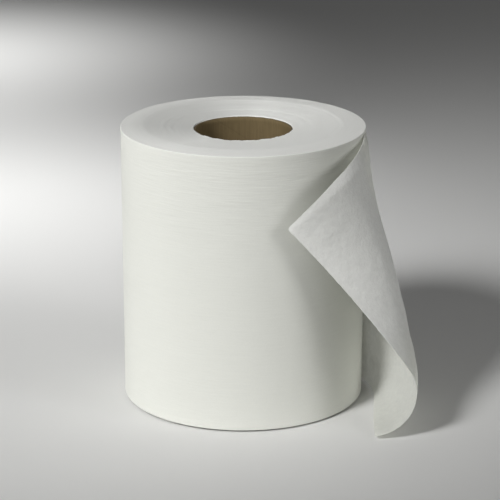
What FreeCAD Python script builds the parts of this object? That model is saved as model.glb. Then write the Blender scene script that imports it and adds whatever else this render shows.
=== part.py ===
import FreeCAD, Part
import math
import os
import Sketcher

# A paper towel roll that stands on one end. Thin towel paper is wound on a kraft board tube.
# The free end of the web stands off the roll's right side and droops forward.
# The origin is the roll's axis at the floor, +Z is up, and the viewer stands on the -Y side.

SIZES = (
    ("roll_radius", 90.0, "outside of the last wound turn"),
    ("web_width", 205.0, "height of the roll, which is the width of the web"),
    ("tube_bore_radius", 35.0, "inside of the board tube"),
    ("tube_wall", 1.3, "two plies of board"),
    ("tube_end_chamfer", 0.3, "soft cut at the tube's ends"),
    ("fit_clearance", 0.1, "between the tube and the first wound turn"),
    ("top_dish_depth", 2.0, "how much lower the top face is at the tube"),
    ("top_rim_round", 3.0, "worn upper rim, as two slopes"),
    ("base_rim_round", 1.5, "worn lower rim, the same way"),
    ("turn_ring_count", 6, "bands of turns that stand slightly apart on each end face"),
    ("turn_ring_depth", 0.35, "depth of the line between two bands"),
    ("turn_ring_line", 0.8, "width of that line"),
    ("sheet_gauge", 0.5, "thickness that stands for the embossed sheet"),
    ("sheet_buried_depth", 0.3, "how far the sheet's end lies inside the last turn"),
    ("sheet_base_gap", 0.5, "sheet's lower edge above the floor where it leaves the roll"),
    ("sheet_top_gap", 1.5, "sheet's upper edge below the rim where it leaves the roll"),
    ("leave_angle", 24.0, "degrees behind +X where the sheet leaves the roll"),
    ("free_length", 158.0, "length of the sheet that stands off the roll"),
    ("corner_side", 94.0, "lower corner of the cut edge, to the right of the axis"),
    ("corner_front", 104.0, "that corner in front of the axis"),
    ("corner_lift", 3.0, "that corner above the floor"),
    ("curl_radius", 32.5, "bend of the cut edge above its lower corner"),
    ("curl_turn", 120.0, "degrees that the cut edge turns through in that bend"),
    ("curl_start", 6.0, "degrees that the cut edge rises at its lower corner"),
    ("droop_radius", 1000.0, "slow bend of the rest of the cut edge"),
    ("twist_angle", 90.0, "degrees that the sheet turns inward at its upper corner"),
    ("twist_power", 1.6, "how late up the cut edge that turn comes"),
    ("base_pull_roll", 1.3, "stiffness of the lower edge's bend at the roll"),
    ("top_pull_roll", 1.15, "the same for the upper edge"),
    ("base_pull_edge", 1.75, "stiffness of the lower edge's bend at the cut edge"),
    ("top_pull_edge", 1.25, "the same for the upper edge"),
)
SAMPLES_ALONG = 5
SAMPLES_UP = 14

doc = FreeCAD.newDocument("TowelRoll")
table = doc.addObject("Spreadsheet::Sheet", "Sizes")


def add_row(alias, content, note=""):
    """Writes one named value, or a formula that starts with =, to the next row of the sheet."""
    add_row.count += 1
    cell = "B{}".format(add_row.count)
    table.set("A{}".format(add_row.count), alias)
    table.set(cell, content)
    table.set("C{}".format(add_row.count), note)
    table.setAlias(cell, alias)


add_row.count = 0
for alias, value, note in SIZES:
    add_row(alias, str(value), note)
add_row("tube_outer_radius", "=tube_bore_radius + tube_wall")
add_row("web_bore_radius", "=tube_outer_radius + fit_clearance")
add_row("tube_length", "=web_width - top_dish_depth")
add_row("tube_bore_lip", "=tube_bore_radius + tube_end_chamfer")
add_row("tube_outer_lip", "=tube_outer_radius - tube_end_chamfer")
add_row("tube_top_lip", "=tube_length - tube_end_chamfer")
add_row("top_face_radius", "=roll_radius - top_rim_round")
add_row("top_rim_height", "=web_width - top_rim_round")
add_row("base_face_radius", "=roll_radius - base_rim_round")
add_row("rim_mid_share", "=1 - sqrt(0.5)", "where a quarter round's middle lies in its square")
add_row("top_rim_mid_radius", "=roll_radius - rim_mid_share * top_rim_round")
add_row("top_rim_mid_height", "=web_width - rim_mid_share * top_rim_round")
add_row("base_rim_mid_radius", "=roll_radius - rim_mid_share * base_rim_round")
add_row("base_rim_mid_height", "=rim_mid_share * base_rim_round")
add_row("ring_pitch", "=(top_face_radius - web_bore_radius) / turn_ring_count")
add_row("dish_slope", "=top_dish_depth / (top_face_radius - web_bore_radius)")
doc.recompute()


def size(alias):
    """The present value of a named size."""
    return float(table.get(alias))


RING_LINES = range(1, int(size("turn_ring_count")))
for ring in RING_LINES:
    add_row("ring_in_{}".format(ring), "=web_bore_radius + {} * ring_pitch".format(ring))
    add_row("ring_mid_{}".format(ring), "=ring_in_{} + turn_ring_line / 2".format(ring))
    add_row("ring_out_{}".format(ring), "=ring_in_{} + turn_ring_line".format(ring))
    for part, drop in (("in", 0), ("mid", 1), ("out", 0)):
        add_row(
            "ring_top_{}_{}".format(part, ring),
            "=web_width - dish_slope * (top_face_radius - ring_{}_{}) - {} * turn_ring_depth".format(
                part, ring, drop
            ),
        )
doc.recompute()


def new_sketch(body, label):
    """An empty sketch on the body's own XZ plane, so that sketch X is the radius and sketch Y the height."""
    sketch = body.newObject("Sketcher::SketchObject", label)
    plane = next(o for o in body.Origin.OriginFeatures if o.Role == "XZ_Plane")
    sketch.AttachmentSupport = [(plane, "")]
    sketch.MapMode = "FlatFace"
    return sketch


def bind_point(sketch, geometry, end, radius_alias, height_alias):
    """Ties one end of a sketch line to two named sizes. A height of None lies on the floor."""
    index = sketch.addConstraint(
        Sketcher.Constraint("DistanceX", -1, 1, geometry, end, size(radius_alias))
    )
    sketch.setExpression("Constraints[{}]".format(index), "Sizes." + radius_alias)
    if height_alias is None:
        sketch.addConstraint(Sketcher.Constraint("PointOnObject", geometry, end, -1))
        return
    index = sketch.addConstraint(
        Sketcher.Constraint("DistanceY", -1, 1, geometry, end, size(height_alias))
    )
    sketch.setExpression("Constraints[{}]".format(index), "Sizes." + height_alias)


def draw_section(sketch, corners):
    """Draws a closed outline of straight runs through corners given as (radius alias, height alias)."""
    points = []
    for radius_alias, height_alias in corners:
        height = 0.0 if height_alias is None else size(height_alias)
        points.append(FreeCAD.Vector(size(radius_alias), height, 0))
    count = len(points)
    for number in range(count):
        sketch.addGeometry(Part.LineSegment(points[number], points[(number + 1) % count]))
    for number in range(count):
        sketch.addConstraint(Sketcher.Constraint("Coincident", number, 2, (number + 1) % count, 1))
    for number, (radius_alias, height_alias) in enumerate(corners):
        bind_point(sketch, number, 1, radius_alias, height_alias)


def revolve(label, corners):
    """A body turned about the roll's axis from a named outline."""
    body = doc.addObject("PartDesign::Body", label)
    body.Label = label
    sketch = new_sketch(body, label + "_section")
    draw_section(sketch, corners)
    turned = body.newObject("PartDesign::Revolution", label + "_turned")
    turned.Profile = sketch
    turned.ReferenceAxis = (sketch, ["V_Axis"])
    turned.Angle = 360.0
    body.Tip = turned
    return body


# The board tube, open at both ends.
core_tube = revolve(
    "core_tube",
    (
        ("tube_bore_lip", None),
        ("tube_outer_lip", None),
        ("tube_outer_radius", "tube_end_chamfer"),
        ("tube_outer_radius", "tube_top_lip"),
        ("tube_outer_lip", "tube_length"),
        ("tube_bore_lip", "tube_length"),
        ("tube_bore_radius", "tube_top_lip"),
        ("tube_bore_radius", "tube_end_chamfer"),
    ),
)
core_tube.Placement = FreeCAD.Placement()

# The wound turns. Both end faces carry the fine lines between bands of turns.
outline = [("web_bore_radius", None)]
for ring in RING_LINES:
    outline.append(("ring_in_{}".format(ring), None))
    outline.append(("ring_mid_{}".format(ring), "turn_ring_depth"))
    outline.append(("ring_out_{}".format(ring), None))
outline.append(("base_face_radius", None))
outline.append(("base_rim_mid_radius", "base_rim_mid_height"))
outline.append(("roll_radius", "base_rim_round"))
outline.append(("roll_radius", "top_rim_height"))
outline.append(("top_rim_mid_radius", "top_rim_mid_height"))
outline.append(("top_face_radius", "web_width"))
for ring in reversed(RING_LINES):
    for part in ("out", "mid", "in"):
        outline.append(("ring_{}_{}".format(part, ring), "ring_top_{}_{}".format(part, ring)))
outline.append(("web_bore_radius", "tube_length"))
wound_web = revolve("wound_web", outline)


def along_arc(point, heading, radius, length):
    """Follows an arc that turns upward from a point. Returns the new point and heading."""
    turned = heading + length / radius
    move = FreeCAD.Vector(math.sin(turned) - math.sin(heading), 0, math.cos(heading) - math.cos(turned))
    return point + move * radius, turned


def cut_edge(width):
    """Samples the cut edge of the web from its lower corner.

    The edge lies in an upright plane that faces the viewer. It rises from its lower corner through
    one tight bend, and then runs on with a slow bend. Returns (point, inward direction) pairs.
    """
    corner = FreeCAD.Vector(size("corner_side"), -size("corner_front"), size("corner_lift"))
    tight_length = size("curl_radius") * math.radians(size("curl_turn"))
    samples = []
    for number in range(SAMPLES_UP):
        run = width * number / (SAMPLES_UP - 1)
        point, heading = along_arc(
            corner, math.radians(size("curl_start")), size("curl_radius"), min(run, tight_length)
        )
        if run > tight_length:
            point, heading = along_arc(point, heading, size("droop_radius"), run - tight_length)
        samples.append((point, FreeCAD.Vector(-math.sin(heading), 0, math.cos(heading))))
    return samples


def loose_grid():
    """Points of the sheet's outer face, as rows along the web from its lower to its upper edge.

    Each row is a cubic curve. It leaves the roll along the last turn's tangent and arrives square to
    the cut edge, and near the upper corner it arrives turned inward.
    """
    height = size("web_width")
    low = size("sheet_base_gap")
    width = height - low - size("sheet_top_gap")
    angle = math.radians(size("leave_angle"))
    radius = size("roll_radius") - size("sheet_buried_depth")
    tangent = FreeCAD.Vector(math.sin(angle), -math.cos(angle), 0)
    length = size("free_length")
    rows = []
    for number, (edge_point, inward) in enumerate(cut_edge(width)):
        share = number / (SAMPLES_UP - 1)
        start = FreeCAD.Vector(
            radius * math.cos(angle), radius * math.sin(angle), low + share * width
        )
        twist = math.radians(size("twist_angle")) * share ** size("twist_power")
        arrive = FreeCAD.Vector(0, -math.cos(twist), 0) + inward * math.sin(twist)
        roll_pull = size("base_pull_roll") * (1 - share) + size("top_pull_roll") * share
        edge_pull = size("base_pull_edge") * (1 - share) + size("top_pull_edge") * share
        row = []
        for place in range(SAMPLES_ALONG):
            u = place / (SAMPLES_ALONG - 1)
            row.append(
                start * (2 * u**3 - 3 * u**2 + 1)
                + tangent * (length * roll_pull * (u**3 - 2 * u**2 + u))
                + edge_point * (3 * u**2 - 2 * u**3)
                + arrive * (length * edge_pull * (u**3 - u**2))
            )
        rows.append(row)
    return rows


def offset_grid(rows, depth):
    """The same grid, moved by depth toward the roll along the sheet's own normals."""
    moved = []
    for i, row in enumerate(rows):
        below = rows[max(i - 1, 0)]
        above = rows[min(i + 1, len(rows) - 1)]
        line = []
        for j, point in enumerate(row):
            along = row[min(j + 1, len(row) - 1)] - row[max(j - 1, 0)]
            up = above[j] - below[j]
            normal = up.cross(along)
            normal.normalize()
            line.append(point - normal * depth)
        moved.append(line)
    return moved


def sheet_solid():
    """The loose end as a closed solid between its two faces."""
    outer_rows = loose_grid()
    inner_rows = offset_grid(outer_rows, size("sheet_gauge"))
    outer = Part.BSplineSurface()
    outer.interpolate(outer_rows)
    inner = Part.BSplineSurface()
    inner.interpolate(inner_rows)
    faces = [outer.toShape(), inner.toShape()]
    u_first, u_last, v_first, v_last = outer.bounds()
    s_first, s_last, t_first, t_last = inner.bounds()
    pairs = (
        (outer.uIso(u_first), inner.uIso(s_first)),
        (outer.uIso(u_last), inner.uIso(s_last)),
        (outer.vIso(v_first), inner.vIso(t_first)),
        (outer.vIso(v_last), inner.vIso(t_last)),
    )
    for outer_curve, inner_curve in pairs:
        faces.append(Part.makeRuledSurface(outer_curve.toShape(), inner_curve.toShape()))
    shell = Part.makeShell(faces)
    shell.sewShape()
    solid = Part.makeSolid(shell)
    if solid.Volume < 0:
        solid.reverse()
    return solid


doc.recompute()
loose_sheet = doc.addObject("Part::Feature", "loose_sheet")
loose_sheet.Label = "loose_sheet"
loose_sheet.Shape = sheet_solid()
loose_sheet.Placement = FreeCAD.Placement()

# The wound turns and their loose end are one web.
paper_roll = doc.addObject("Part::Fuse", "paper_roll")
paper_roll.Label = "paper_roll"
paper_roll.Base = wound_web
paper_roll.Tool = loose_sheet
paper_roll.Placement = FreeCAD.Placement()
doc.recompute()

for item in doc.Objects:
    if "Invalid" in item.State or "Error" in item.State:
        raise RuntimeError("{} is in state {}".format(item.Label, item.State))
    if hasattr(item, "Shape") and item.isDerivedFrom("Part::Feature"):
        if item.Shape.isNull() or not item.Shape.isValid():
            raise RuntimeError("{} has no valid shape".format(item.Label))

os.makedirs("parts", exist_ok=True)
for node in (paper_roll, core_tube):
    node.Shape.exportStep("parts/{}.step".format(node.Label))
    box = node.Shape.BoundBox
    print(node.Label, len(node.Shape.Solids), "solid", round(node.Shape.Volume / 1000.0, 2), "cm3", box)
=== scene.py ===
"""A wide roll of towel paper that stands on one end, its loose end drooping off the right side.

Each sub-assembly is a class that builds and dresses its own mesh. Lengths are in metres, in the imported
model's frame: the origin is the roll's axis at the floor, +Z is up and the viewer is on the -Y side.
"""

import logging
import math
from dataclasses import dataclass
from enum import Enum

import bmesh
import bpy
from mathutils import Euler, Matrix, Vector, noise


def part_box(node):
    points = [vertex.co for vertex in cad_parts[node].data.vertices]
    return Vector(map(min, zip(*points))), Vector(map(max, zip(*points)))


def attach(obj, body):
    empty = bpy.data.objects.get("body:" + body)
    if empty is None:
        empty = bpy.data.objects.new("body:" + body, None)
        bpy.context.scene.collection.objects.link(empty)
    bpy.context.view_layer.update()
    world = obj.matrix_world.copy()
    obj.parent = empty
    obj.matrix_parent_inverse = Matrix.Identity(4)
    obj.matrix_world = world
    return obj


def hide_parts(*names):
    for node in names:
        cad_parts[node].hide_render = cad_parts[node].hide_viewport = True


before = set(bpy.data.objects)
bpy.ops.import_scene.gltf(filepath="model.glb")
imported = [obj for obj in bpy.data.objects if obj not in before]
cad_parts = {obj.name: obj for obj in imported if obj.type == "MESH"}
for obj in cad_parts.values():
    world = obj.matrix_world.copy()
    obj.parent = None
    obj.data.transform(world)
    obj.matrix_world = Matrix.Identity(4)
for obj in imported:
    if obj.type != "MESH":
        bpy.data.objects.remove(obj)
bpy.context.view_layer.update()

LOG = logging.getLogger("towel_roll")
MM = 0.001
TURN = 2.0 * math.pi
WELD = 0.001 * MM
BODY = "root"
VIEW_POINT = Vector((0.0, -1.4744, 0.5844))
NOISE_RANGE = (0.3, 0.7)

Material = bpy.types.Material
Socket = bpy.types.NodeSocket
Value = float | tuple[float, ...] | Socket
Pair = tuple[float, float]
Triple = tuple[float, float, float]
Colour = tuple[float, float, float, float]


class End(Enum):
    """The two end faces of the roll."""

    BASE = "base"
    TOP = "top"


class Held(Enum):
    """How a sheet of paper is held."""

    HUNG = "hung"


def smooth_step(value: float) -> float:
    """A soft ramp from 0 to 1.

    Args:
        value: Where on the ramp, clamped to 0 and 1.

    Returns:
        The ramp's height.
    """
    clamped = min(max(value, 0.0), 1.0)
    return clamped * clamped * (3.0 - 2.0 * clamped)


def mix(low: float, high: float, share: float) -> float:
    """A value between two others.

    Args:
        low: The value at a share of 0.
        high: The value at a share of 1.
        share: How far from low to high.

    Returns:
        The value there.
    """
    return low + (high - low) * share


def ramp(value: float, start: float, reach: float) -> float:
    """A soft ramp from 0 at its start to 1 where its reach ends.

    Args:
        value: Where on the ramp.
        start: Where it begins to rise.
        reach: How long it is.

    Returns:
        The ramp's height.
    """
    return smooth_step((value - start) / reach)


def mesh_object(name: str, shape: bmesh.types.BMesh, *finishes: Material) -> bpy.types.Object:
    """Turns a finished bmesh into a shown object with smooth faces.

    Args:
        name: The piece's name.
        shape: The bmesh, which is freed.
        finishes: Its materials, in the order of the faces' material numbers.

    Returns:
        The new object, at the origin.
    """
    mesh = bpy.data.meshes.new(name)
    for face in shape.faces:
        face.smooth = True
    shape.to_mesh(mesh)
    shape.free()
    for finish in finishes:
        mesh.materials.append(finish)
    made = bpy.data.objects.new(name, mesh)
    bpy.context.scene.collection.objects.link(made)
    return made


def spin_section(section: list[Vector], steps: int) -> bmesh.types.BMesh:
    """Turns a closed section once about the roll's axis.

    Args:
        section: Corners of the section in the XZ plane, in order.
        steps: How many facets go round.

    Returns:
        The closed shape, with its faces pointing outward.
    """
    shape = bmesh.new()
    corners = [shape.verts.new(corner) for corner in section]
    edges = [shape.edges.new((corners[number - 1], corners[number])) for number in range(len(corners))]
    about = {"cent": (0.0, 0.0, 0.0), "axis": (0.0, 0.0, 1.0), "angle": TURN}
    bmesh.ops.spin(shape, geom=corners + edges, steps=steps, use_merge=True, **about)
    bmesh.ops.remove_doubles(shape, verts=shape.verts, dist=WELD)
    bmesh.ops.recalc_face_normals(shape, faces=shape.faces)
    return shape


class NodeBench:
    """Adds nodes to one material and wires them."""

    def __init__(self, name: str) -> None:
        """Starts an empty material.

        Args:
            name: The material's name.
        """
        self.material = bpy.data.materials.new(name)
        self.material.use_nodes = True
        self.tree = self.material.node_tree
        self.tree.nodes.clear()

    def add(self, kind: str, inputs: dict[str | int, Value], **settings: object) -> bpy.types.Node:
        """Adds a node, sets its options, and sets or wires its inputs.

        Args:
            kind: The node's type.
            inputs: A value or another node's output for each named or numbered input.
            settings: The node's own options.

        Returns:
            The node.
        """
        node = self.tree.nodes.new(kind)
        for key, setting in settings.items():
            setattr(node, key, setting)
        for key, value in inputs.items():
            if isinstance(value, Socket):
                self.tree.links.new(value, node.inputs[key])
            else:
                node.inputs[key].default_value = value
        return node

    def math(self, operation: str, first: Value, second: Value = 0.0) -> Socket:
        """The result of one sum.

        Args:
            operation: The sum's name.
            first: Its first value.
            second: Its second value, where it has one.

        Returns:
            The result's socket.
        """
        return self.add("ShaderNodeMath", {0: first, 1: second}, operation=operation).outputs[0]

    def place(self) -> Socket:
        """The point on the surface, in metres."""
        return self.add("ShaderNodeTexCoord", {}).outputs["Object"]

    def stretched(self, scale: Triple, turned: Triple = (0.0, 0.0, 0.0)) -> Socket:
        """The point on the surface, turned and stretched.

        Args:
            scale: Waves per metre along each axis.
            turned: Degrees about each axis.

        Returns:
            The new point's socket.
        """
        angles = tuple(math.radians(angle) for angle in turned)
        inputs = {"Vector": self.place(), "Rotation": angles, "Scale": scale}
        return self.add("ShaderNodeMapping", inputs).outputs["Vector"]

    def noise(self, where: Socket, scale: float, detail: float, roughness: float = 0.5) -> Socket:
        """Soft noise from about 0 to 1.

        Args:
            where: The point that it is read at.
            scale: Waves per unit of that point.
            detail: How many finer layers it has.
            roughness: How strong those are.

        Returns:
            The noise's socket.
        """
        inputs = {"Vector": where, "Scale": scale, "Detail": detail, "Roughness": roughness}
        return self.add("ShaderNodeTexNoise", inputs).outputs[0]

    def span(
        self, value: Value, low: float, high: float, to_low: float = 0.0, to_high: float = 1.0
    ) -> Socket:
        """A value moved from one range to another and held inside it.

        Args:
            value: The value.
            low: The first range's lower end.
            high: The first range's upper end.
            to_low: What low becomes.
            to_high: What high becomes.

        Returns:
            The new value's socket.
        """
        inputs = {0: value, 1: low, 2: high, 3: to_low, 4: to_high}
        return self.add("ShaderNodeMapRange", inputs).outputs[0]

    def shade(self, colour: Value, level: Socket) -> Socket:
        """A colour made lighter or darker.

        Args:
            colour: The colour.
            level: What it is multiplied by.

        Returns:
            The new colour's socket.
        """
        inputs = {0: colour[:3] if isinstance(colour, tuple) else colour, "Scale": level}
        return self.add("ShaderNodeVectorMath", inputs, operation="SCALE").outputs[0]

    def blend(self, share: Value, first: Value, second: Value) -> Socket:
        """A mix of two colours.

        Args:
            share: How much of the second one shows.
            first: The first colour.
            second: The second colour.

        Returns:
            The mixed colour's socket.
        """
        inputs = {0: share, 6: first, 7: second}
        return self.add("ShaderNodeMix", inputs, data_type="RGBA").outputs[2]

    def bump(
        self, height: Socket, strength: float, reach: float, below: Socket | None = None
    ) -> Socket:
        """A fine relief.

        Args:
            height: The relief's height, from 0 to 1.
            strength: How much of it shows.
            reach: How high a height of 1 is, in metres.
            below: The relief that this one lies on, if any.

        Returns:
            The normal's socket.
        """
        inputs = {"Height": height, "Strength": strength, "Distance": reach}
        if below is not None:
            inputs["Normal"] = below
        return self.add("ShaderNodeBump", inputs).outputs[0]

    def matte(self, colour: Value, roughness: float, gloss: float, more: dict[str, Value]) -> Socket:
        """A matte surface.

        Args:
            colour: Its colour.
            roughness: How dull it is.
            gloss: How strongly it reflects.
            more: The shader's further inputs by name.

        Returns:
            The shader's socket.
        """
        inputs = {"Base Color": colour, "Roughness": roughness, "Specular IOR Level": gloss}
        return self.add("ShaderNodeBsdfPrincipled", inputs | more).outputs[0]

    def finish(self, surface: Socket) -> Material:
        """Wires the surface to the material's output.

        Args:
            surface: The last shader's socket.

        Returns:
            The finished material.
        """
        self.add("ShaderNodeOutputMaterial", {"Surface": surface})
        return self.material


@dataclass(frozen=True)
class TowelPaper:
    """Soft white towel paper: matte, cloudy and fibrous."""

    colour: Colour = (0.84, 0.848, 0.79, 1.0)
    # The end faces' colour: paper, made lighter than the side as painted light on the top face.
    end_colour_with_painted_light: Colour = (0.94, 0.945, 0.905, 1.0)
    # The free sheet's colour, made lighter than the roll as painted light on the loose end.
    sheet_colour_with_painted_light: Colour = (0.95, 0.955, 0.92, 1.0)
    roughness: float = 0.92
    gloss: float = 0.2
    fuzz: float = 0.12
    fuzz_roughness: float = 0.6
    cloud_waves: float = 230.0
    cloud_relief: float = 0.36 * MM
    grain_waves: float = 900.0
    cut_waves: float = 1.3
    fibre_length: float = 5.0 * MM
    fibre_width: float = 0.35 * MM
    fibre_flatness: float = 0.5
    fibre_cut: Pair = (0.55, 0.8)
    streak_length: float = 17.0 * MM
    streak_width: float = 1.3 * MM
    streak_relief: float = 0.28 * MM
    streak_heights: Pair = (130.0 * MM, 185.0 * MM)
    streak_depths: Pair = (0.7, 1.6)
    turn_pitch: float = 0.62 * MM
    turn_waves: float = 0.9
    shingle: float = 0.56
    shingle_height: float = 0.2 * MM
    # Painted shade on the end faces' left-back side: its direction, sector, radii and levels.
    painted_shade_toward: Triple = (-0.9, 0.44, 0.0)
    painted_shade_sector: Pair = (0.2, 0.9)
    painted_shade_radii: Pair = (70.0 * MM, 84.0 * MM)
    painted_shade_levels: Pair = (0.7, 0.82)
    lying_smoothness: float = 0.3
    see_through: float = 0.12
    worn_through: float = 0.7

    def fibres(self, bench: NodeBench) -> Socket:
        """Fine threads that lie in three directions.

        Args:
            bench: The material under construction.

        Returns:
            Their height, from 0 to 1.
        """
        along = 1.0 / self.fibre_length
        across = 1.0 / self.fibre_width
        total: Value = 0.0
        for turned in ((20.0, 35.0, 10.0), (-50.0, 15.0, 70.0), (80.0, -40.0, 130.0)):
            where = bench.stretched((across, along, across * self.fibre_flatness), turned)
            thread = bench.noise(where, 1.0, detail=1.0)
            total = bench.math("MAXIMUM", total, bench.span(thread, *self.fibre_cut))
        return total

    def dress(
        self, bench: NodeBench, colour: Socket, normal: Socket, thinness: Socket | None
    ) -> Material:
        """Ends a paper material.

        Args:
            bench: The material under construction.
            colour: The surface's colour.
            normal: Its relief.
            thinness: How much of the light comes through, or None where the paper lies thick.

        Returns:
            The finished material.
        """
        more = {"Sheen Weight": self.fuzz, "Sheen Roughness": self.fuzz_roughness, "Normal": normal}
        skin = bench.matte(colour, self.roughness, self.gloss, more)
        if thinness is None:
            return bench.finish(skin)
        through = bench.add("ShaderNodeBsdfTranslucent", {"Color": colour, "Normal": normal})
        both = bench.add("ShaderNodeMixShader", {0: thinness, 1: skin, 2: through.outputs[0]})
        return bench.finish(both.outputs[0])

    def wound(self) -> Material:
        """The side of the roll: smooth, with fine tension streaks that are deeper toward the top."""
        bench = NodeBench("towel_paper_wound")
        fibres = self.fibres(bench)
        along = 1.0 / self.streak_length
        where = bench.stretched((along, along, 1.0 / self.streak_width))
        streaks = bench.noise(where, 1.0, detail=2.0)
        grain = bench.noise(bench.place(), self.grain_waves, detail=2.0)
        rise = bench.add("ShaderNodeSeparateXYZ", {0: bench.place()}).outputs[2]
        depth = bench.span(rise, *self.streak_heights, *self.streak_depths)
        streaked = bench.math("MULTIPLY", streaks, depth)
        relief = bench.bump(streaked, strength=0.5, reach=self.streak_relief)
        relief = bench.bump(grain, strength=0.2, reach=0.06 * MM, below=relief)
        relief = bench.bump(fibres, strength=0.2, reach=0.04 * MM, below=relief)
        streak_tone = bench.span(streaks, *NOISE_RANGE, 0.992, 1.006)
        grain_tone = bench.span(grain, *NOISE_RANGE, 0.99, 1.01)
        level = bench.math("MULTIPLY", streak_tone, grain_tone)
        return self.dress(bench, bench.shade(self.colour, level), relief, None)

    def painted_shade_side(self, bench: NodeBench, flat: Socket, radius: Socket) -> Socket:
        """Painted shade: the left-back side of an end face made darker, standing in for the light
        falling off it.

        Args:
            bench: The material under construction.
            flat: The point on the face, without its height.
            radius: Its distance from the axis.

        Returns:
            The tone's level there.
        """
        outward = bench.add("ShaderNodeVectorMath", {0: flat}, operation="NORMALIZE").outputs[0]
        inputs = {0: outward, 1: self.painted_shade_toward}
        sector = bench.add("ShaderNodeVectorMath", inputs, operation="DOT_PRODUCT").outputs["Value"]
        depth = bench.span(radius, *self.painted_shade_radii, *self.painted_shade_levels)
        share = bench.span(sector, *self.painted_shade_sector)
        inverse = bench.math("SUBTRACT", 1.0, depth)
        return bench.math("SUBTRACT", 1.0, bench.math("MULTIPLY", share, inverse))

    def turns(self) -> Material:
        """The end faces: the cut edges of the turns, in fine spiral lines, in a colour kept lighter than
        the side as painted light on the top.
        """
        bench = NodeBench("towel_paper_turns")
        axes = bench.add("ShaderNodeSeparateXYZ", {0: bench.place()}).outputs
        flat = bench.add("ShaderNodeCombineXYZ", {0: axes[0], 1: axes[1]}).outputs[0]
        radius = bench.add("ShaderNodeVectorMath", {0: flat}, operation="LENGTH").outputs["Value"]
        angle = bench.math("DIVIDE", bench.math("ARCTAN2", axes[1], axes[0]), TURN)
        across = bench.math("SUBTRACT", bench.math("DIVIDE", radius, self.turn_pitch), angle)
        layer = bench.math("ADD", bench.math("FLOOR", across), angle)
        inside = bench.math("FRACT", across)
        rise = bench.math("DIVIDE", inside, self.shingle)
        fall = bench.math("DIVIDE", bench.math("SUBTRACT", 1.0, inside), 1.0 - self.shingle)
        ridge = bench.math("MINIMUM", rise, fall)
        number = bench.add("ShaderNodeCombineXYZ", {0: layer}).outputs[0]
        proud = bench.noise(number, self.turn_waves, detail=2.0, roughness=0.7)
        fuzz = bench.noise(bench.place(), self.grain_waves * self.cut_waves, detail=3.0, roughness=0.6)
        relief = bench.bump(ridge, strength=1.0, reach=self.shingle_height)
        relief = bench.bump(proud, strength=0.4, reach=0.12 * MM, below=relief)
        relief = bench.bump(fuzz, strength=0.5, reach=0.14 * MM, below=relief)
        proud_tone = bench.span(proud, *NOISE_RANGE, 0.975, 1.01)
        fuzz_tone = bench.span(fuzz, *NOISE_RANGE, 0.98, 1.01)
        level = bench.math("MULTIPLY", proud_tone, fuzz_tone)
        # Painted shade: the end faces darkened on their left-back side.
        level = bench.math("MULTIPLY", level, self.painted_shade_side(bench, flat, radius))
        # Painted light: the end faces take a lighter colour than the side.
        return self.dress(bench, bench.shade(self.end_colour_with_painted_light, level), relief, None)

    def single(self) -> Material:
        """The loose end: one sheet, cloudy and lighter as painted light where it is free, and like the
        roll where it lies on it.
        """
        bench = NodeBench("towel_paper_single")
        free = bench.add("ShaderNodeAttribute", {}, attribute_name="free").outputs["Fac"]
        broad = bench.noise(bench.place(), self.cloud_waves, detail=4.0, roughness=0.62)
        clouds = bench.span(broad, *NOISE_RANGE)
        fibres = self.fibres(bench)
        grain = bench.noise(bench.place(), self.grain_waves, detail=3.0, roughness=0.65)
        thick = bench.math("MULTIPLY", clouds, free)
        rough = bench.span(free, 0.0, 1.0, self.lying_smoothness, 1.0)
        rough_grain = bench.math("MULTIPLY", grain, rough)
        rough_fibres = bench.math("MULTIPLY", fibres, rough)
        relief = bench.bump(thick, strength=0.6, reach=self.cloud_relief)
        relief = bench.bump(rough_grain, strength=0.5, reach=0.14 * MM, below=relief)
        relief = bench.bump(rough_fibres, strength=0.5, reach=0.09 * MM, below=relief)
        cloud_tone = bench.span(thick, 0.0, 1.0, 1.02, 0.94)
        fibre_tone = bench.span(fibres, 0.0, 1.0, 0.985, 1.015)
        level = bench.math("MULTIPLY", cloud_tone, fibre_tone)
        worn = bench.add("ShaderNodeAttribute", {}, attribute_name="worn").outputs["Fac"]
        through = bench.span(worn, 0.0, 1.0, self.see_through, self.worn_through)
        cloudy_through = bench.math("MULTIPLY", bench.span(clouds, 0.0, 1.0, 1.25, 0.75), through)
        thinness = bench.math("MULTIPLY", cloudy_through, free)
        # Painted light: the free sheet takes a lighter colour than the roll.
        colour = bench.blend(free, self.colour, self.sheet_colour_with_painted_light)
        return self.dress(bench, bench.shade(colour, level), relief, thinness)


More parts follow.
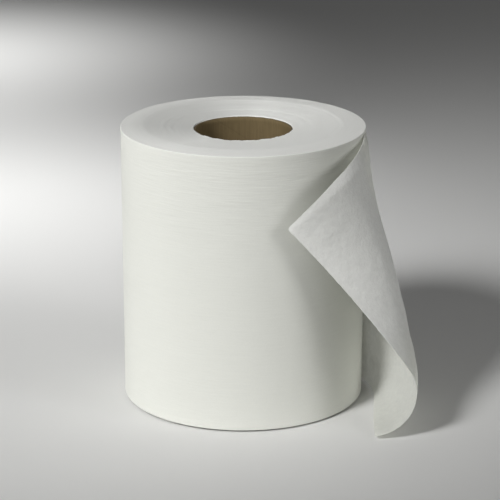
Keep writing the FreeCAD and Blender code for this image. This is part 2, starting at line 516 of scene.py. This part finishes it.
@dataclass(frozen=True)
class KraftBoard:
    """Bare kraft board: brown, matte and flecked."""

    colour: Colour = (0.184, 0.137, 0.068, 1.0)
    dark_fleck: Colour = (0.1, 0.07, 0.04, 1.0)
    cut_colour: Colour = (0.13, 0.1, 0.06, 1.0)
    roughness: float = 0.82
    gloss: float = 0.25
    fleck_waves: float = 700.0
    fleck_cut: Pair = (0.62, 0.74)
    fleck_strength: float = 0.45
    patch_waves: float = 45.0
    cut_waves: float = 1.8
    grain_length: float = 14.0 * MM
    grain_width: float = 0.9 * MM
    seam_tone: float = 0.88

    def liner(self) -> Material:
        """The smooth liner on the tube's walls."""
        bench = NodeBench("kraft_board_liner")
        across = 1.0 / self.grain_width
        where = bench.stretched((across, across, 1.0 / self.grain_length))
        grain = bench.noise(where, 1.0, detail=3.0, roughness=0.6)
        flecks = bench.noise(bench.place(), self.fleck_waves, detail=3.0, roughness=0.7)
        patches = bench.noise(bench.place(), self.patch_waves, detail=2.0)
        dark = bench.span(flecks, *self.fleck_cut, 0.0, self.fleck_strength)
        speckled = bench.blend(dark, self.colour, self.dark_fleck)
        seam = bench.add("ShaderNodeAttribute", {}, attribute_name="seam").outputs["Fac"]
        grain_tone = bench.span(grain, *NOISE_RANGE, 0.88, 1.08)
        patch_tone = bench.span(patches, *NOISE_RANGE, 0.92, 1.06)
        level = bench.math("MULTIPLY", grain_tone, patch_tone)
        level = bench.math("MULTIPLY", level, bench.span(seam, 0.0, 1.0, 1.0, self.seam_tone))
        relief = bench.bump(grain, strength=0.35, reach=0.12 * MM)
        relief = bench.bump(flecks, strength=0.3, reach=0.1 * MM, below=relief)
        shaded = bench.shade(speckled, level)
        return bench.finish(bench.matte(shaded, self.roughness, self.gloss, {"Normal": relief}))

    def cut(self) -> Material:
        """The raw cut at the tube's ends."""
        bench = NodeBench("kraft_board_cut")
        fuzz = bench.noise(bench.place(), self.fleck_waves * self.cut_waves, detail=3.0, roughness=0.7)
        shaded = bench.shade(self.cut_colour, bench.span(fuzz, *NOISE_RANGE, 0.7, 1.25))
        relief = bench.bump(fuzz, strength=0.7, reach=0.25 * MM)
        return bench.finish(bench.matte(shaded, self.roughness, self.gloss, {"Normal": relief}))


@dataclass(frozen=True)
class FloorCard:
    """The plain pale card that the roll stands on."""

    colour: Colour = (0.76, 0.76, 0.746, 1.0)
    roughness: float = 0.75
    gloss: float = 0.2

    def material(self) -> Material:
        """The card's plain matte finish."""
        bench = NodeBench("floor_card")
        return bench.finish(bench.matte(self.colour, self.roughness, self.gloss, {}))


@dataclass(frozen=True)
class RollSizes:
    """The sizes that every sub-assembly shares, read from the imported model."""

    radius: float
    width: float
    tube_radius: float
    tube_length: float

    @classmethod
    def from_frame(cls) -> "RollSizes":
        """Reads the sizes from the two nodes' boxes."""
        roll_low, roll_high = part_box("paper_roll")
        _, tube_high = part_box("core_tube")
        return cls(-roll_low.x, roll_high.z, tube_high.x, tube_high.z)


@dataclass
class WoundTurns:
    """The tight turns of the web, as one ring of paper with a side and two end faces."""

    sizes: RollSizes
    finish: TowelPaper
    steps: int = 256
    side_rows: int = 88
    top_rings: int = 104
    base_rings: int = 40
    bore_play: float = 0.12 * MM
    under_last_turn: float = 0.12 * MM
    dish_depth: float = 3.3 * MM
    crown_width: float = 16.0 * MM
    crown_height: float = 0.8 * MM
    crown_rise: float = 1.6 * MM
    crown_power: float = 1.7
    rim_round: float = 0.5 * MM
    base_round: float = 0.35 * MM
    base_lift: float = 1.4 * MM
    lifted_width: float = 11.0 * MM
    lift_rows: int = 6
    crown_rows: int = 16
    round_rows: int = 5
    bore_rows: int = 6
    side_skin: float = 0.6 * MM
    skin_share: float = 0.6
    tolerance: float = 0.1 * MM
    base_start: float = 0.5 * MM
    end_fade: float = 6.0 * MM
    band_pitch: float = 2.6 * MM
    band_waves: float = 0.83
    band_relief: float = 0.11 * MM
    wide_band: float = 3.4
    wide_band_relief: float = 0.16 * MM
    mouth_fringe: float = 0.55 * MM
    fringe_width: float = 1.6 * MM
    fringe_level: float = 0.45
    fringe_waves: Pair = (6.0, 15.0)
    fine_fringe: float = 0.7
    side_ripple: float = 0.09 * MM
    ripple_waves: Pair = (22.0, 210.0)
    side_swell: float = 0.22 * MM
    swell_waves: Pair = (16.0, 7.0)

    @property
    def bore(self) -> float:
        """The inside of the first turn."""
        return self.sizes.tube_radius + self.bore_play

    @property
    def side(self) -> float:
        """The outside of the turns, below the last one."""
        return self.sizes.radius - self.under_last_turn

    @property
    def peak(self) -> float:
        """The highest ring of the top face, between the crown and the dish."""
        return self.sizes.width + self.crown_rise

    @property
    def crown_foot(self) -> float:
        """Where the straight side ends and the rim begins to turn inward."""
        return self.peak - self.crown_height - self.rim_round

    @property
    def side_foot(self) -> float:
        """Where the straight side begins, above the outer turns' lifted lower edge."""
        return self.base_lift + self.base_round

    def side_radius(self, height: float) -> float:
        """The roll's outer radius at a height, drawn in where the rim turns inward.

        Args:
            height: Height above the floor.

        Returns:
            The radius there.
        """
        above = min(max(height - self.crown_foot, 0.0) / self.rim_round, 1.0)
        return self.side - self.rim_round * (1.0 - math.sqrt(1.0 - above * above))

    def section(self) -> list[Vector]:
        """The ring's section: base face, its lifted band, side, rim, crown, dished top and bore."""
        points: list[Vector] = []
        base_edge = self.side - self.base_round
        foot_edge = self.side - self.lifted_width
        for number in range(self.base_rings):
            points.append(Vector((mix(self.bore, foot_edge, number / self.base_rings), 0.0, 0.0)))
        for number in range(self.lift_rows):
            share = number / self.lift_rows
            height = self.base_lift * smooth_step(2.0 * share)
            points.append(Vector((mix(foot_edge, base_edge, share), 0.0, height)))
        for number in range(self.round_rows):
            angle = 0.5 * math.pi * number / self.round_rows
            across = base_edge + self.base_round * math.sin(angle)
            height = self.side_foot - self.base_round * math.cos(angle)
            points.append(Vector((across, 0.0, height)))
        for number in range(self.side_rows):
            height = mix(self.side_foot, self.crown_foot, number / self.side_rows)
            points.append(Vector((self.side, 0.0, height)))
        rim_start = self.side - self.rim_round
        for number in range(self.round_rows):
            angle = 0.5 * math.pi * number / self.round_rows
            across = rim_start + self.rim_round * math.cos(angle)
            points.append(Vector((across, 0.0, self.crown_foot + self.rim_round * math.sin(angle))))
        crown_start = rim_start - self.crown_width
        for number in range(self.crown_rows):
            outward = 1.0 - number / self.crown_rows
            height = self.peak - self.crown_height * outward**self.crown_power
            points.append(Vector((mix(crown_start, rim_start, outward), 0.0, height)))
        for number in range(self.top_rings + 1):
            share = number / self.top_rings
            height = self.peak - self.dish_depth * share
            points.append(Vector((mix(crown_start, self.bore, share), 0.0, height)))
        for number in range(1, self.bore_rows):
            height = (self.peak - self.dish_depth) * (1.0 - number / self.bore_rows)
            points.append(Vector((self.bore, 0.0, height)))
        return points

    def layer_height(self, across: float, angle: float, pitch: float, seed: float) -> float:
        """How far a band of turns stands proud, smooth along the spiral and from band to band.

        Args:
            across: Distance outward from the bore.
            angle: Angle round the axis, as a share of a turn.
            pitch: Width of one band.
            seed: Tells one set of bands from another.

        Returns:
            The height, from about -1 to 1.
        """
        place = across / pitch - angle
        number = math.floor(place)
        along = number + angle
        share = smooth_step(place - number)
        lower = noise.noise(Vector((along * self.band_waves, seed, 0.0)))
        upper = noise.noise(Vector(((along + 1.0) * self.band_waves, seed, 0.0)))
        return 2.0 * mix(lower, upper, share)

    def end_relief(self, radius: float, angle: float, end: End) -> float:
        """The relief of an end face.

        Args:
            radius: Distance from the axis.
            angle: Angle round the axis, as a share of a turn.
            end: Which face.

        Returns:
            How far the face stands above its plain section.
        """
        across = radius - self.bore
        seed = 3.7 if end is End.TOP else 9.1
        fine = self.layer_height(across, angle, self.band_pitch, seed) * self.band_relief
        wide = self.layer_height(across, angle, self.wide_band * self.band_pitch, seed + 20.0)
        fade = smooth_step((self.side - radius) / (0.5 * self.crown_width))
        ring = Vector((math.cos(angle * TURN), math.sin(angle * TURN), 0.0))
        broad_waves, fine_waves = self.fringe_waves
        rough = self.fringe_level + noise.noise(ring * broad_waves)
        ragged = max(rough + self.fine_fringe * noise.noise(ring * fine_waves), 0.0)
        fringe = ragged * self.mouth_fringe * max(1.0 - across / self.fringe_width, 0.0)
        return (fine + wide * self.wide_band_relief) * fade + fringe

    def side_relief(self, place: Vector) -> float:
        """The soft unevenness of the side.

        Args:
            place: A point on the plain side.

        Returns:
            How far the side stands out there.
        """
        around, up = self.ripple_waves
        ripple = noise.noise(Vector((place.x * around, place.y * around, place.z * up)))
        around, up = self.swell_waves
        swell = noise.noise(Vector((place.x * around + 4.0, place.y * around, place.z * up)))
        return ripple * self.side_ripple + swell * self.side_swell - 0.5 * self.side_swell

    def uneven(self, shape: bmesh.types.BMesh) -> None:
        """Moves the plain ring's points by the relief of its faces.

        Args:
            shape: The ring.
        """
        lowest_top = self.sizes.width - 2.0 * self.dish_depth
        for vert in shape.verts:
            place = vert.co.copy()
            radius = math.hypot(place.x, place.y)
            angle = math.atan2(place.y, place.x) / TURN
            outward = Vector((place.x, place.y, 0.0)) / radius
            if radius > self.side - self.tolerance and self.side_foot <= place.z <= self.crown_foot:
                low_fade = ramp(place.z, self.side_foot, self.end_fade)
                high_fade = smooth_step((self.crown_foot - place.z) / self.end_fade)
                vert.co += outward * self.side_relief(place) * low_fade * high_fade
            elif radius > self.bore - self.tolerance and place.z > lowest_top:
                vert.co.z += self.end_relief(radius, angle, End.TOP)
            elif radius > self.bore + self.base_start and place.z < self.tolerance:
                vert.co.z += abs(self.end_relief(radius, angle, End.BASE))

    def build(self) -> bpy.types.Object:
        """Builds and dresses the ring of turns."""
        shape = spin_section(self.section(), self.steps)
        self.uneven(shape)
        shape.normal_update()
        skin_end = self.crown_foot + self.skin_share * self.rim_round
        for face in shape.faces:
            middle = face.calc_center_median()
            on_side = math.hypot(middle.x, middle.y) > self.side - self.side_skin
            face.material_index = 0 if on_side and middle.z < skin_end else 1
        made = mesh_object("wound_turns", shape, self.finish.wound(), self.finish.turns())
        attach(made, BODY)
        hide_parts("paper_roll")
        return made


@dataclass
class LooseEnd:
    """The last free length of the web, with the stretch of the last turn that it comes from."""

    sizes: RollSizes
    turns: WoundTurns
    finish: TowelPaper
    base_gap: float = 1.2 * MM
    top_gap: float = 0.8 * MM
    leave_angle: float = 24.0
    free_length: float = 158.0 * MM
    corner_side: float = 94.0 * MM
    corner_front: float = 104.0 * MM
    corner_lift: float = 3.0 * MM
    curl_radius: float = 32.5 * MM
    curl_turn: float = 120.0
    curl_start: float = 6.0
    droop_radius: float = 1.0
    twist_angle: float = 90.0
    twist_power: float = 1.6
    roll_pulls: Pair = (1.3, 1.15)
    edge_pulls: Pair = (1.75, 1.25)
    lying_length: float = 95.0 * MM
    lying_depth: float = 0.35 * MM
    gauge: float = 0.4 * MM
    cell: float = 1.25 * MM
    probe: float = 0.5 * MM
    rounding: float = 2.0 * MM
    low_rounding: float = 0.5
    lip_width: float = 9.0 * MM
    lip_end_width: float = 3.5 * MM
    lip_taper: float = 80.0 * MM
    lip_slope: float = 0.22
    lip_power: float = 1.2
    lip_span: Pair = (15.0 * MM, 30.0 * MM)
    freeing: float = 45.0 * MM
    buckle: float = 0.55 * MM
    buckle_waves: Pair = (26.0, 6.0)
    buckle_lean: float = 0.2
    cockle: float = 0.22 * MM
    cockle_waves: Pair = (95.0, 80.0)
    pucker: float = 0.08 * MM
    pucker_waves: Pair = (260.0, 230.0)
    edge_wander: float = 0.25 * MM
    wander_waves: float = 330.0
    wander_reach: float = 4.0 * MM
    fold_forward: float = 10.0 * MM
    fold_rise: float = 0.6
    fold_fall: float = 0.38
    fold_foot: float = 0.25
    corner_back: float = 9.0 * MM
    corner_along: Pair = (0.6, 0.4)
    corner_across: Pair = (0.35, 0.5)
    slack_rise: float = 0.5
    slack_fall: float = 0.3
    upper_slack: float = 3.2 * MM
    upper_middle: float = 0.82
    upper_reach: float = 0.3
    lower_slack: float = 3.6 * MM
    lower_middle: float = 0.24
    lower_reach: float = 0.2
    free_span: Pair = (-5.0 * MM, 40.0 * MM)
    worn_across: Pair = (0.25, 0.25)
    worn_along: Pair = (0.35, 0.25)
    worn_low: float = 0.7
    worn_root: float = 0.66
    worn_both: float = 0.3

    @property
    def height(self) -> float:
        """Width of the web."""
        return self.sizes.width - self.base_gap - self.top_gap

    @staticmethod
    def along_arc(point: Vector, heading: float, radius: float, length: float) -> tuple[Vector, float]:
        """Follows an arc that turns upward from a point.

        Args:
            point: Where the arc starts.
            heading: Its direction there, in radians above +X.
            radius: Its radius.
            length: How much of it is followed.

        Returns:
            The point reached and the heading there.
        """
        turned = heading + length / radius
        move = Vector((math.sin(turned) - math.sin(heading), 0.0, math.cos(heading) - math.cos(turned)))
        return point + move * radius, turned

    def cut_edge(self, share: float) -> tuple[Vector, Vector]:
        """A point of the cut edge, which rises through one tight bend and then a slow one.

        Args:
            share: Where across the web, from its lower edge at 0 to its upper edge at 1.

        Returns:
            The point, and the direction inward from the edge in the edge's own plane.
        """
        run = share * self.height
        tight = self.curl_radius * math.radians(self.curl_turn)
        corner = Vector((self.corner_side, -self.corner_front, self.corner_lift))
        start = math.radians(self.curl_start)
        point, heading = self.along_arc(corner, start, self.curl_radius, min(run, tight))
        if run > tight:
            point, heading = self.along_arc(point, heading, self.droop_radius, run - tight)
        return point, Vector((-math.sin(heading), 0.0, math.cos(heading)))

    def free_point(self, along: float, share: float) -> Vector:
        """A point of the free sheet, on the same cubic rows as the solid's.

        Args:
            along: Where along the web, from the roll at 0 to the cut edge at 1.
            share: Where across the web.

        Returns:
            The point.
        """
        angle = math.radians(self.leave_angle)
        radius = self.sizes.radius
        height = self.base_gap + share * self.height
        start = Vector((radius * math.cos(angle), radius * math.sin(angle), height))
        tangent = Vector((math.sin(angle), -math.cos(angle), 0.0))
        edge_point, inward = self.cut_edge(share)
        twist = math.radians(self.twist_angle) * share**self.twist_power
        arrive = Vector((0.0, -math.cos(twist), 0.0)) + inward * math.sin(twist)
        roll_pull = mix(*self.roll_pulls, share) * self.free_length
        edge_pull = mix(*self.edge_pulls, share) * self.free_length
        u = along
        return (
            start * (2.0 * u**3 - 3.0 * u**2 + 1.0)
            + tangent * (roll_pull * (u**3 - 2.0 * u**2 + u))
            + edge_point * (3.0 * u**2 - 2.0 * u**3)
            + arrive * (edge_pull * (u**3 - u**2))
        )

    def lying_point(self, back: float, share: float) -> Vector:
        """A point of the last turn, which sinks into the roll behind the line where the sheet leaves.

        Args:
            back: Distance back from that line.
            share: Where across the web.

        Returns:
            The point.
        """
        angle = math.radians(self.leave_angle) + back / self.sizes.radius
        height = self.base_gap + share * self.height
        settled = smooth_step(back / self.lying_length)
        snug = self.turns.side_radius(height)
        sunk = self.lying_depth * (back / self.lying_length) ** 2
        radius = mix(self.sizes.radius, snug, settled) - sunk
        return Vector((radius * math.cos(angle), radius * math.sin(angle), height))

    def plain_point(self, run: float, share: float) -> Vector:
        """A point of the smooth sheet.

        Args:
            run: Distance past the line where the sheet leaves the roll, negative on the roll.
            share: Where across the web.

        Returns:
            The point.
        """
        if run < 0.0:
            return self.lying_point(-run, share)
        along = run / self.free_length
        return self.settle(self.free_point(along, share), along, share)

    def normal(self, run: float, share: float) -> Vector:
        """The outward direction of the smooth sheet.

        Args:
            run: Distance past the line where the sheet leaves the roll.
            share: Where across the web.

        Returns:
            A unit vector on the side away from the roll.
        """
        along = self.plain_point(run + self.probe, share) - self.plain_point(run - self.probe, share)
        step = self.probe / self.height
        above = min(share + step, 1.0)
        below = max(share - step, 0.0)
        up = self.plain_point(run, above) - self.plain_point(run, below)
        return up.cross(along).normalized()

    def rounded(self, run: float, share: float) -> tuple[float, float]:
        """Moves a point of the flat sheet so that its two free corners are rounded.

        Args:
            run: Distance past the line where the sheet leaves the roll.
            share: Where across the web.

        Returns:
            The moved run and share.
        """
        low = share < 0.5
        to_side = (share if low else 1.0 - share) * self.height
        reach = self.rounding * (self.low_rounding if low else 1.0)
        a = reach - (self.free_length - run)
        b = reach - to_side
        if a <= 0.0 or b <= 0.0:
            return run, share
        keep = max(a, b) / math.hypot(a, b)
        new_side = (reach - b * keep) / self.height
        return self.free_length - reach + a * keep, new_side if low else 1.0 - new_side

    def settle(self, place: Vector, along: float, share: float) -> Vector:
        """Lets the fold come forward, the upper corner drop back and the sheet hang slacker.

        The first two move along the photograph's line of sight, so they keep the outline.

        Args:
            place: A point of the free sheet.
            along: Where along the web, from the roll at 0 to the cut edge at 1.
            share: Where across the web.

        Returns:
            The moved point.
        """
        rising = smooth_step(along / self.fold_rise)
        falling = smooth_step((1.0 - along) / self.fold_fall)
        fold = rising * falling * smooth_step(share / self.fold_foot)
        corner = ramp(along, *self.corner_along) * ramp(share, *self.corner_across)
        forward = self.fold_forward * fold - self.corner_back * corner
        middle = smooth_step(along / self.slack_rise) * smooth_step((1.0 - along) / self.slack_fall)
        upper = self.upper_slack * smooth_step(1.0 - abs(share - self.upper_middle) / self.upper_reach)
        lower = self.lower_slack * smooth_step(1.0 - abs(share - self.lower_middle) / self.lower_reach)
        inward = (upper + lower) * middle
        return place + (VIEW_POINT - place).normalized() * forward + Vector((-inward, 0.0, 0.0))

    def relief(self, run: float, share: float) -> float:
        """The sheet's own unevenness and its upper edge's crease, none where it lies on the roll.

        Args:
            run: Distance past the line where the sheet leaves the roll.
            share: Where across the web.

        Returns:
            How far the sheet stands out from its smooth form.
        """
        side = share * self.height
        lean = run + self.buckle_lean * side
        buckle = noise.noise(Vector((lean * self.buckle_waves[0], side * self.buckle_waves[1], 1.3)))
        cockle = noise.noise(Vector((run * self.cockle_waves[0], side * self.cockle_waves[1], 5.1)))
        pucker = noise.noise(Vector((run * self.pucker_waves[0], side * self.pucker_waves[1], 8.4)))
        uneven = buckle * self.buckle + cockle * self.cockle + pucker * self.pucker
        to_edge = smooth_step((self.free_length - run) / self.lip_taper)
        width = mix(self.lip_end_width, self.lip_width, to_edge)
        from_top = (1.0 - share) * self.height
        lip = max(1.0 - from_top / width, 0.0) ** self.lip_power * width * self.lip_slope
        freedom = smooth_step(run / self.freeing)
        return uneven * freedom - lip * ramp(run, *self.lip_span)

    def point(self, run: float, share: float) -> Vector:
        """A point of the finished sheet.

        Args:
            run: Distance past the line where the sheet leaves the roll.
            share: Where across the web.

        Returns:
            The point.
        """
        run, share = self.rounded(run, share)
        place = Vector((share * self.height * self.wander_waves, 2.2, 0.0))
        to_end = smooth_step((run - self.free_length + self.wander_reach) / self.wander_reach)
        run += noise.noise(place) * self.edge_wander * to_end
        return self.plain_point(run, share) + self.normal(run, share) * self.relief(run, share)

    def build(self) -> bpy.types.Object:
        """Builds and dresses the sheet."""
        whole = self.lying_length + self.free_length
        columns = round(whole / self.cell)
        rows = round(self.height / self.cell)
        shape = bmesh.new()
        bmesh.ops.create_grid(shape, x_segments=columns, y_segments=rows, size=1.0, calc_uvs=True)
        free_layer = shape.verts.layers.float.new("free")
        worn_layer = shape.verts.layers.float.new("worn")
        for vert in shape.verts:
            run = mix(-self.lying_length, self.free_length, 0.5 + 0.5 * vert.co.x)
            share = 0.5 + 0.5 * vert.co.y
            vert[free_layer] = ramp(run, *self.free_span)
            low = 1.0 - ramp(share, *self.worn_across)
            near_roll = 1.0 - ramp(run / self.free_length, *self.worn_along)
            worn = max(self.worn_low * low, self.worn_root * near_roll)
            vert[worn_layer] = worn + self.worn_both * low * near_roll
            vert.co = self.point(run, share)
        outward = self.normal(0.5 * self.free_length, 0.5)
        shape.normal_update()
        middle = self.point(0.5 * self.free_length, 0.5)
        nearest = min(shape.faces, key=lambda face: (face.calc_center_median() - middle).length)
        if nearest.normal.dot(outward) < 0.0:
            bmesh.ops.reverse_faces(shape, faces=shape.faces)
        for edge in shape.edges:
            edge.smooth = not edge.is_boundary
        made = mesh_object("loose_end", shape, self.finish.single())
        thicken = made.modifiers.new("gauge", "SOLIDIFY")
        thicken.thickness = self.gauge
        thicken.offset = -1.0
        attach(made, BODY)
        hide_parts("paper_roll")
        return made


@dataclass
class BoardTube:
    """The board tube, with the spiral seam of its inner ply and raw cut ends."""

    sizes: RollSizes
    finish: KraftBoard
    wall: float = 1.3 * MM
    steps: int = 192
    rows: int = 60
    seam_pitch: float = 150.0 * MM
    seam_depth: float = 0.08 * MM
    lip_wander: float = 0.28 * MM
    lip_waves: float = 9.0
    lip_reach: float = 0.5 * MM
    mouth_sag: float = 0.35 * MM
    sag_waves: float = 1.7
    sag_reach: float = 6.0 * MM
    cut_round: float = 0.2 * MM
    cut_dip: float = 0.12 * MM
    top_cut: float = 1.0 * MM
    base_cut: float = 0.15 * MM

    def section(self) -> list[Vector]:
        """The wall's section: up the outside, over the top cut, down the inside, over the base cut."""
        outer = self.sizes.tube_radius
        inner = outer - self.wall
        soft = self.cut_round
        top = self.sizes.tube_length
        points = []
        for number in range(self.rows + 1):
            points.append(Vector((outer, 0.0, mix(soft, top - soft, number / self.rows))))
        points.append(Vector((outer - soft, 0.0, top)))
        points.append(Vector((0.5 * (outer + inner), 0.0, top - self.cut_dip)))
        points.append(Vector((inner + soft, 0.0, top)))
        for number in range(self.rows + 1):
            points.append(Vector((inner, 0.0, mix(top - soft, soft, number / self.rows))))
        points.append(Vector((inner + soft, 0.0, 0.0)))
        points.append(Vector((outer - soft, 0.0, 0.0)))
        return points

    def wind(self, shape: bmesh.types.BMesh) -> None:
        """Opens the seam along one column of the inner wall, then twists the tube into its spiral.

        Args:
            shape: The straight tube.
        """
        seam_layer = shape.verts.layers.float.new("seam")
        inner_limit = self.sizes.tube_radius - 0.5 * self.wall
        facet = TURN / self.steps
        top = self.sizes.tube_length
        for vert in shape.verts:
            radius = math.hypot(vert.co.x, vert.co.y)
            angle = math.atan2(vert.co.y, vert.co.x)
            height = vert.co.z
            if radius < inner_limit and round(angle / facet) == 0:
                radius += self.seam_depth
                vert[seam_layer] = 1.0
            angle += TURN * height / self.seam_pitch
            ring = Vector((math.cos(angle), math.sin(angle), 0.0))
            if radius < inner_limit:
                near_top = smooth_step((height - top + self.sag_reach) / self.sag_reach)
                sag = 0.5 + 0.5 * noise.noise(ring * self.sag_waves)
                radius -= near_top * self.mouth_sag * sag
            if height > top - self.lip_reach:
                height -= self.lip_wander * (0.5 + 0.5 * noise.noise(ring * self.lip_waves))
            vert.co = Vector((radius * math.cos(angle), radius * math.sin(angle), height))

    def build(self) -> bpy.types.Object:
        """Builds and dresses the tube."""
        shape = spin_section(self.section(), self.steps)
        self.wind(shape)
        shape.normal_update()
        top = self.sizes.tube_length - self.top_cut
        for face in shape.faces:
            middle = face.calc_center_median()
            face.material_index = 1 if middle.z > top or middle.z < self.base_cut else 0
        made = mesh_object("board_tube", shape, self.finish.liner(), self.finish.cut())
        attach(made, BODY)
        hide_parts("core_tube")
        return made


@dataclass
class Lamp:
    """One soft round lamp."""

    name: str
    azimuth: float
    elevation: float
    distance: float
    size: float
    spread: float
    power: float

    def build(self, target: Vector) -> None:
        """Hangs the lamp and turns it to its target.

        Args:
            target: The point that the lamp is aimed at.
        """
        side = math.radians(self.azimuth)
        rise = math.radians(self.elevation)
        flat = math.cos(rise)
        away = Vector((math.sin(side) * flat, -math.cos(side) * flat, math.sin(rise)))
        data = bpy.data.lights.new(self.name, "AREA")
        data.shape = "DISK"
        data.size = self.size
        data.spread = math.radians(self.spread)
        data.energy = self.power
        lamp = bpy.data.objects.new(self.name, data)
        bpy.context.scene.collection.objects.link(lamp)
        lamp.location = target + away * self.distance
        lamp.rotation_euler = away.to_track_quat("Z", "Y").to_euler()


@dataclass
class Studio:
    """The floor, the lamps, the sky and the camera."""

    sizes: RollSizes
    floor: FloorCard
    camera_pitch: float = 17.86
    camera_yaw: float = 0.195
    lens: float = 149.4
    sensor: float = 36.0
    floor_half: float = 6.0
    sky_level: float = 0.095
    key_aim: Triple = (-0.13, 0.05, 0.045)
    near_aim: Triple = (-0.34, 0.55, 0.0)
    far_aim: Triple = (-0.42, 1.15, 0.0)

    def build_floor(self) -> None:
        """Lays the floor."""
        shape = bmesh.new()
        bmesh.ops.create_grid(shape, x_segments=1, y_segments=1, size=self.floor_half)
        mesh_object("floor", shape, self.floor.material())

    def build_sky(self) -> None:
        """Sets an even sky that fills the shadows."""
        world = bpy.data.worlds.new("sky")
        bpy.context.scene.world = world
        world.use_nodes = True
        background = world.node_tree.nodes["Background"]
        background.inputs["Color"].default_value = (1.0, 1.0, 1.0, 1.0)
        background.inputs["Strength"].default_value = self.sky_level

    def build_lamps(self) -> None:
        """Hangs the main lamp at the front left, a weak one at the right and two over the floor."""
        target = Vector((0.0, 0.0, 0.5 * self.sizes.width))
        key = {"azimuth": -40.0, "elevation": 40.0, "distance": 2.0, "size": 0.7, "spread": 30.0}
        fill = {"azimuth": 60.0, "elevation": 22.0, "distance": 2.0, "size": 0.8, "spread": 46.0}
        over = {"azimuth": 0.0, "elevation": 89.0, "distance": 1.0, "size": 0.3, "spread": 50.0}
        Lamp("key", power=1.67, **key).build(target + Vector(self.key_aim))
        Lamp("fill", power=0.62, **fill).build(target)
        Lamp("backdrop_near", power=0.8, **over).build(Vector(self.near_aim))
        Lamp("backdrop_far", power=0.9, **over).build(Vector(self.far_aim))

    def build_camera(self) -> None:
        """Sets the camera at the photograph's viewing angle."""
        data = bpy.data.cameras.new("camera")
        data.lens = self.lens
        data.sensor_width = self.sensor
        camera = bpy.data.objects.new("camera", data)
        bpy.context.scene.collection.objects.link(camera)
        camera.location = VIEW_POINT
        tilt = math.radians(90.0 - self.camera_pitch)
        camera.rotation_euler = Euler((tilt, 0.0, -math.radians(self.camera_yaw)))
        bpy.context.scene.camera = camera

    def build(self) -> None:
        """Sets up the whole studio."""
        self.build_floor()
        self.build_sky()
        self.build_lamps()
        self.build_camera()
        bpy.context.scene.view_settings.view_transform = "Standard"


def main() -> None:
    """Builds the roll and its studio."""
    logging.basicConfig(level=logging.INFO, format="%(name)s: %(message)s")
    sizes = RollSizes.from_frame()
    paper = TowelPaper()
    turns = WoundTurns(sizes, paper)
    loose_end = LooseEnd(sizes, turns, paper)
    tube = BoardTube(sizes, KraftBoard())
    for assembly in (turns, loose_end, tube):
        piece = assembly.build()
        LOG.info("%s: %d faces", piece.name, len(piece.data.polygons))
    Studio(sizes, FloorCard()).build()


if __name__ == "__main__":
    main()
